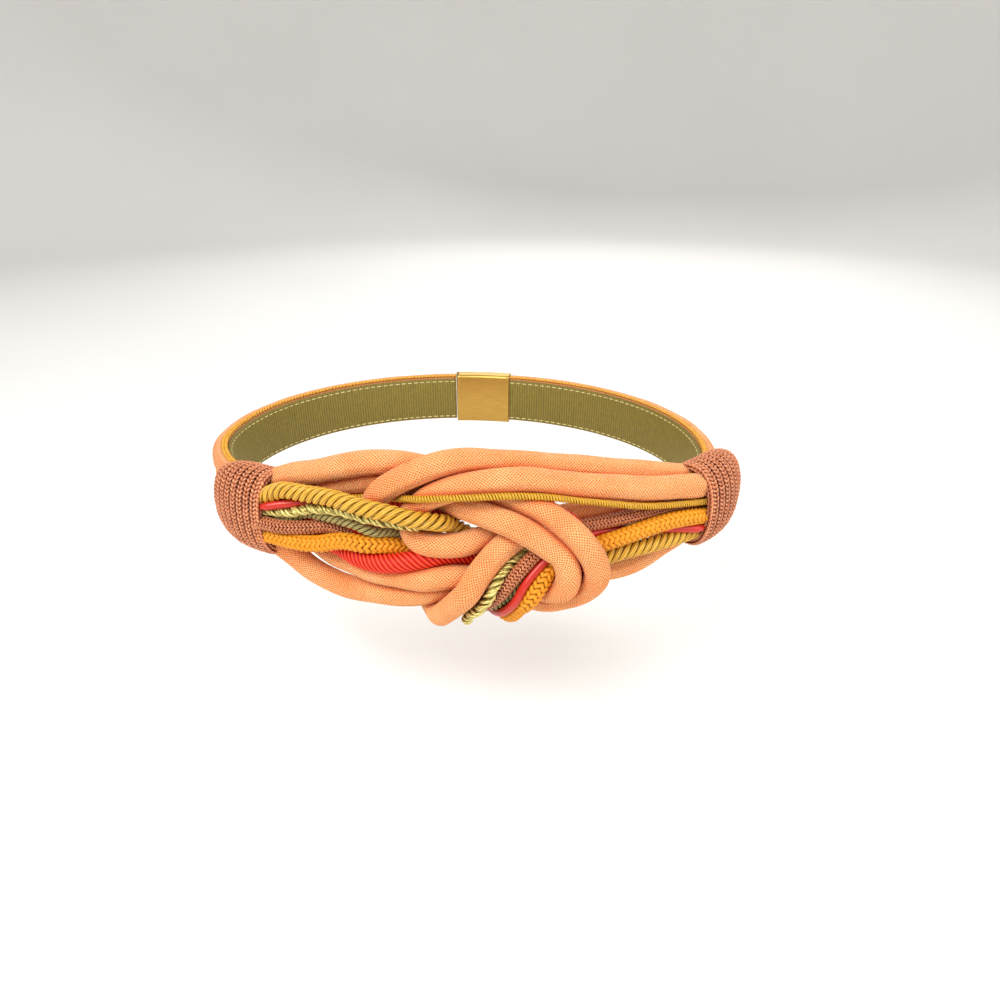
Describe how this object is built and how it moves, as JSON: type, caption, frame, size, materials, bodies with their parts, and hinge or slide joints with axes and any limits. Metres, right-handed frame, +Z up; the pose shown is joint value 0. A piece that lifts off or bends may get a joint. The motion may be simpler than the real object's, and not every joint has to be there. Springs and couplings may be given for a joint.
{
  "type": "rope belt",
  "caption": "Worn rope belt: linen cords, twisted ropes and knitted cords tied in a flat front knot, gathered into a knitted cuff at each side, with a padded strap round the back.",
  "frame": {"origin": "middle of the waist hollow where it is widest, at the height of the belt", "axes": "+Z up along the waist, +X to the wearer's left, -Y to the front, where the knot is"},
  "size_m": [0.2735, 0.2197, 0.0821],
  "materials": {
    "linen_cord": "matte woven linen",
    "strap_linen": "matte woven linen",
    "red_twill": "ribbed cotton twill",
    "red_satin": "smooth satin",
    "gold_gimp": "bound lustrous thread",
    "gold_thread": "lustrous twisted thread",
    "metallic_thread": "metallic twisted thread",
    "olive_thread": "lustrous twisted thread",
    "copper_knit": "knitted lustrous yarn",
    "orange_knit": "knitted lustrous yarn",
    "strap_lining": "ribbed stitched lining",
    "clasp_brass": "brushed"
  },
  "bodies": {
    "root": {"ring_cord_outer": "linen_cord", "ring_cord_inner": "linen_cord", "twill_cord": "red_twill", "band_cord_back": "linen_cord", "band_cord_front": "linen_cord", "gimp_cord": "gold_gimp", "gold_rope": "gold_thread", "satin_cord": "red_satin", "metallic_rope": "metallic_thread", "olive_rope": "olive_thread", "copper_knit_cord": "copper_knit", "orange_knit_cord": "orange_knit", "cuff_left": "copper_knit", "cuff_right": "copper_knit", "strap_left": "strap_linen", "strap_right": "strap_linen", "strap_lining_left": "strap_lining", "strap_lining_right": "strap_lining", "back_clasp": "clasp_brass"}
  },
  "joints": []
}
